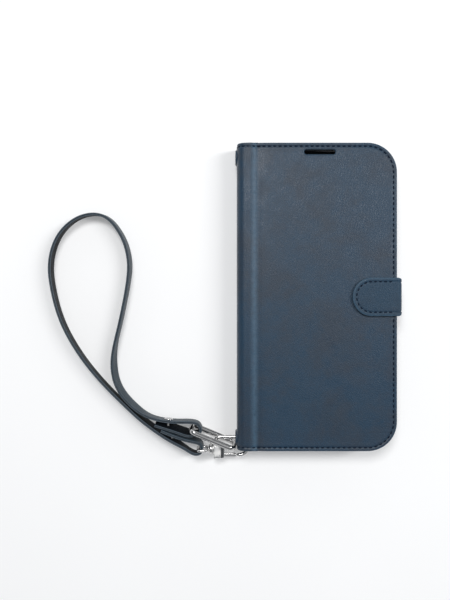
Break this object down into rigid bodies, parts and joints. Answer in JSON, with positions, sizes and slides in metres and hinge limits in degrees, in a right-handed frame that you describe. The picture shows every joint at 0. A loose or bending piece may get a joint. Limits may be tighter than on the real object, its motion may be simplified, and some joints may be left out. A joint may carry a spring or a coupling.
{
  "type": "phone wallet case",
  "caption": "Folding leather phone wallet case with a moulded phone tray, card pockets, a magnetic clasp strap and a clip-on wrist strap.",
  "frame": {"origin": "middle of the base of the closed case's box, without the wrist strap, with the case lying on its back", "axes": "+Z out of the front cover, +Y to the top of the phone, +X to the opening edge with the clasp"},
  "size_m": [0.1951, 0.1741, 0.0195],
  "materials": {
    "navy_leather": "semi-matt, mottled navy, fine grain",
    "navy_lining": "matt microfibre",
    "pocket_leather": "semi-matt, fine grain",
    "strap_leather": "semi-matt, painted edges",
    "thread": "waxed thread",
    "board": "pressed fibre board",
    "magnet": "nickel-plated",
    "tray": "soft flexible plastic, satin",
    "key": "satin",
    "polished_metal": "polished nickel",
    "spring_steel": "drawn wire"
  },
  "bodies": {
    "case": {"back_leather": "navy_leather", "back_board": "board", "back_lining": "navy_lining", "back_stitching": "thread", "spine_leather": "navy_leather", "spine_lining": "navy_lining", "spine_stitching": "thread", "spine_patch_top": "navy_leather", "spine_patch_bottom": "navy_leather", "phone_tray": "tray", "clasp_tongue": "navy_leather", "swivel_eye": "polished_metal", "wrist_strap": "strap_leather", "rivet_ring_end": "polished_metal", "rivet_clasp_end": "polished_metal"},
    "front_cover": {"front_leather": "navy_leather", "front_board": "board", "front_lining": "navy_lining", "front_stitching": "thread", "front_magnet": "magnet", "cash_pocket": "pocket_leather", "card_pocket_1": "pocket_leather", "card_pocket_2": "pocket_leather", "card_pocket_3": "pocket_leather"},
    "clasp_side": {"clasp_side_lining": "navy_lining", "clasp_side_leather": "navy_leather"},
    "clasp_tab": {"clasp_tab_lining": "navy_lining", "clasp_tab_leather": "navy_leather", "clasp_tab_stitching": "thread", "clasp_magnet": "magnet"},
    "power_key": {"power_key": "key"},
    "volume_up_key": {"volume_up_key": "key"},
    "volume_down_key": {"volume_down_key": "key"},
    "action_key": {"action_key": "key"},
    "snap_hook": {"snap_hook": "polished_metal", "gate_pin": "polished_metal", "gate_spring": "spring_steel"},
    "hook_gate": {"hook_gate": "polished_metal"},
    "oval_ring": {"oval_ring": "polished_metal"}
  },
  "joints": [
    {"name": "front_cover_hinge", "type": "hinge", "parent": "case", "child": "front_cover", "pos_m": [-0.03355, 0, 0.0177], "axis": [0, -1, 0], "range_deg": [0, 180], "deforming": ["clasp_tab_leather", "clasp_tab_lining", "clasp_tab_stitching", "clasp_magnet"]},
    {"name": "clasp_side_fold", "type": "hinge", "parent": "case", "child": "clasp_side", "pos_m": [0.04325, 0, 0.0025], "axis": [0, 1, 0], "range_deg": [0, 90]},
    {"name": "clasp_tab_fold", "type": "hinge", "parent": "clasp_side", "child": "clasp_tab", "pos_m": [0.04255, 0, 0.0169], "axis": [0, 1, 0], "range_deg": [0, 90], "deforming": ["clasp_tab_leather", "clasp_tab_lining", "clasp_tab_stitching", "clasp_magnet"]},
    {"name": "power_key_press", "type": "slide", "parent": "case", "child": "power_key", "axis": [-1, 0, 0], "range_m": [0, 0.0004], "stiffness_N_per_m": 600},
    {"name": "volume_up_key_press", "type": "slide", "parent": "case", "child": "volume_up_key", "axis": [1, 0, 0], "range_m": [0, 0.0004], "stiffness_N_per_m": 600},
    {"name": "volume_down_key_press", "type": "slide", "parent": "case", "child": "volume_down_key", "axis": [1, 0, 0], "range_m": [0, 0.0004], "stiffness_N_per_m": 600},
    {"name": "action_key_press", "type": "slide", "parent": "case", "child": "action_key", "axis": [1, 0, 0], "range_m": [0, 0.0004], "stiffness_N_per_m": 600},
    {"name": "hook_swivel", "type": "hinge", "parent": "case", "child": "snap_hook", "pos_m": [-0.058, -0.0849, 0.0068], "axis": [1, 0, 0], "range_deg": [0, 8]},
    {"name": "gate_pivot", "type": "hinge", "parent": "snap_hook", "child": "hook_gate", "pos_m": [-0.0543, -0.08818, 0.0068], "axis": [0, 0, 1], "range_deg": [0, 12], "stiffness_Nm_per_rad": 0.002},
    {"name": "ring_slide", "type": "slide", "parent": "case", "child": "oval_ring", "axis": [-0.9233, 0.3841, 0], "range_m": [0, 0.0008]}
  ]
}
